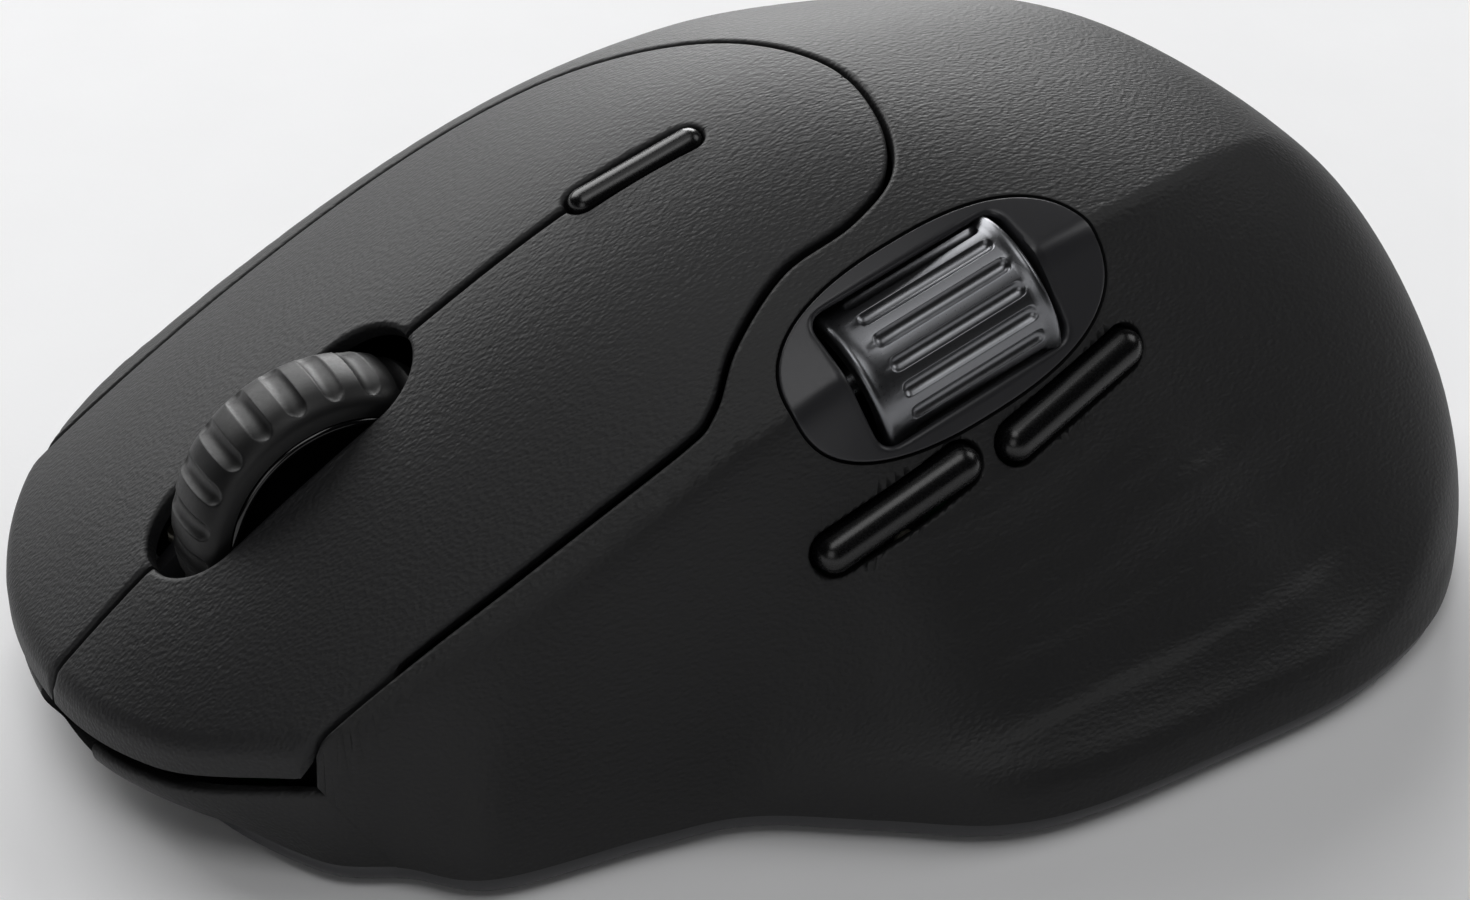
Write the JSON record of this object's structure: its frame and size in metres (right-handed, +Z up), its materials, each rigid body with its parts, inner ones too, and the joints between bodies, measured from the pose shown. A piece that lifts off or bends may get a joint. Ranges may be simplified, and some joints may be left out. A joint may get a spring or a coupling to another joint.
{
  "type": "computer mouse",
  "caption": "Cordless right-handed computer mouse with two keys, a scroll wheel, a thumb wheel, side buttons, a mode button and a flared thumb rest.",
  "frame": {"origin": "centre of the bottom of the bounding box, on the surface the mouse rests on", "axes": "+X towards the thumb side, -Y towards the front where the keys are, +Z up"},
  "size_m": [0.0842, 0.128, 0.0482],
  "materials": {
    "shell_plastic": "charcoal moulded plastic with a fine leather-like grain",
    "key_plastic": "charcoal moulded plastic with a fine leather-like grain",
    "base_plastic": "satin dark grey plastic",
    "bezel_plastic": "smooth satin dark grey plastic",
    "button_plastic": "satin black plastic",
    "tyre_rubber": "soft black rubber",
    "hub_plastic": "glossy black plastic",
    "wheel_metal": "satin machined metal with bright edges",
    "pin_steel": "ground steel",
    "frame_plastic": "grey moulded plastic",
    "board": "green circuit board",
    "component": "black component body",
    "encoder": "blue component body",
    "plunger": "natural nylon",
    "lens": "clear lens",
    "cell": "foil pouch cell",
    "lead": "wire insulation",
    "socket": "cream connector",
    "foot": "low-friction plastic"
  },
  "bodies": {
    "root": {"base_shell": "base_plastic", "front_bumper": "shell_plastic", "upper_shell": "shell_plastic", "key_plate": "key_plastic", "inner_frame": "frame_plastic", "main_board": "board", "wheel_bracket": "frame_plastic", "carrier_pin": "pin_steel", "left_switch": "component", "right_switch": "component", "middle_switch": "component", "thumb_bezel": "bezel_plastic", "thumb_wheel_bracket": "frame_plastic", "thumb_encoder": "encoder", "side_bracket": "board", "front_side_switch": "component", "rear_side_switch": "component", "mode_board": "board", "mode_switch": "component", "optical_sensor": "component", "sensor_lens": "lens", "battery": "cell", "battery_socket": "socket", "battery_leads": "lead", "usb_port": "pin_steel", "power_switch": "component", "pair_switch": "component", "front_glide_foot": "foot", "rear_glide_foot": "foot", "case_screws": "pin_steel", "board_screws": "pin_steel"},
    "left_key": {"left_key": "key_plastic"},
    "right_key": {"right_key": "key_plastic"},
    "wheel_carrier": {"wheel_carrier": "frame_plastic", "scroll_encoder": "encoder"},
    "scroll_wheel": {"scroll_tyre": "tyre_rubber", "scroll_hub": "hub_plastic", "scroll_axle": "pin_steel"},
    "thumb_wheel": {"thumb_wheel_sleeve": "wheel_metal", "thumb_wheel_core": "hub_plastic", "thumb_wheel_axle": "pin_steel"},
    "front_side_button": {"front_side_button": "button_plastic"},
    "rear_side_button": {"rear_side_button": "button_plastic"},
    "mode_button": {"mode_button": "button_plastic"},
    "left_switch_plunger": {"left_switch_plunger": "plunger"},
    "right_switch_plunger": {"right_switch_plunger": "plunger"},
    "middle_switch_plunger": {"middle_switch_plunger": "plunger"},
    "front_side_plunger": {"front_side_plunger": "plunger"},
    "rear_side_plunger": {"rear_side_plunger": "plunger"},
    "mode_plunger": {"mode_plunger": "plunger"},
    "power_knob": {"power_knob": "frame_plastic"},
    "pair_button": {"pair_button": "frame_plastic"}
  },
  "joints": [
    {"name": "left_key_press", "type": "hinge", "parent": "root", "child": "left_key", "pos_m": [0.008, -0.00144, 0.0456], "axis": [1, 0, 0], "range_deg": [0, 0.8], "stiffness_Nm_per_rad": 2.4},
    {"name": "right_key_press", "type": "hinge", "parent": "root", "child": "right_key", "pos_m": [-0.018, -0.00144, 0.0456], "axis": [1, 0, 0], "range_deg": [0, 0.8], "stiffness_Nm_per_rad": 2.4},
    {"name": "wheel_press", "type": "hinge", "parent": "root", "child": "wheel_carrier", "pos_m": [-0.0045, -0.02044, 0.0115], "axis": [1, 0, 0], "range_deg": [0, 0.9], "stiffness_Nm_per_rad": 1.5},
    {"name": "scroll_wheel_spin", "type": "hinge", "parent": "wheel_carrier", "child": "scroll_wheel", "pos_m": [-0.0045, -0.03844, 0.0209], "axis": [1, 0, 0], "continuous": true},
    {"name": "thumb_wheel_spin", "type": "hinge", "parent": "root", "child": "thumb_wheel", "pos_m": [0.01655, 0.00715, 0.03498], "axis": [0, 0.9553, 0.2957], "continuous": true},
    {"name": "front_side_press", "type": "slide", "parent": "root", "child": "front_side_button", "axis": [-0.9082, 0.1881, -0.3739], "range_m": [0, 0.0005], "stiffness_N_per_m": 1500},
    {"name": "rear_side_press", "type": "slide", "parent": "root", "child": "rear_side_button", "axis": [-0.9148, -0.0227, -0.4033], "range_m": [0, 0.0005], "stiffness_N_per_m": 1500},
    {"name": "mode_press", "type": "slide", "parent": "root", "child": "mode_button", "axis": [0, 0.284, -0.9588], "range_m": [0, 0.0005], "stiffness_N_per_m": 1500},
    {"name": "left_plunger_press", "type": "slide", "parent": "root", "child": "left_switch_plunger", "axis": [0, 0, -1], "range_m": [0, 0.0006]},
    {"name": "right_plunger_press", "type": "slide", "parent": "root", "child": "right_switch_plunger", "axis": [0, 0, -1], "range_m": [0, 0.0006]},
    {"name": "middle_plunger_press", "type": "slide", "parent": "root", "child": "middle_switch_plunger", "axis": [0, 0, -1], "range_m": [0, 0.00045]},
    {"name": "front_side_plunger_press", "type": "slide", "parent": "root", "child": "front_side_plunger", "axis": [-0.9082, 0.1881, -0.3739], "range_m": [0, 0.0005]},
    {"name": "rear_side_plunger_press", "type": "slide", "parent": "root", "child": "rear_side_plunger", "axis": [-0.9148, -0.0227, -0.4033], "range_m": [0, 0.0005]},
    {"name": "mode_plunger_press", "type": "slide", "parent": "root", "child": "mode_plunger", "axis": [0, 0.284, -0.9588], "range_m": [0, 0.0005]},
    {"name": "power_slide", "type": "slide", "parent": "root", "child": "power_knob", "axis": [1, 0, 0], "range_m": [0, 0.003]},
    {"name": "pair_press", "type": "slide", "parent": "root", "child": "pair_button", "axis": [0, 0, 1], "range_m": [0, 0.0004], "stiffness_N_per_m": 1200}
  ],
  "couplings": [
    {"joint": "left_plunger_press", "follows": "left_key_press", "m_per_rad": 0.03939},
    {"joint": "right_plunger_press", "follows": "right_key_press", "m_per_rad": 0.03939},
    {"joint": "middle_plunger_press", "follows": "wheel_press", "m_per_rad": 0.02801},
    {"joint": "front_side_plunger_press", "follows": "front_side_press", "ratio": 1},
    {"joint": "rear_side_plunger_press", "follows": "rear_side_press", "ratio": 1},
    {"joint": "mode_plunger_press", "follows": "mode_press", "ratio": 1}
  ]
}
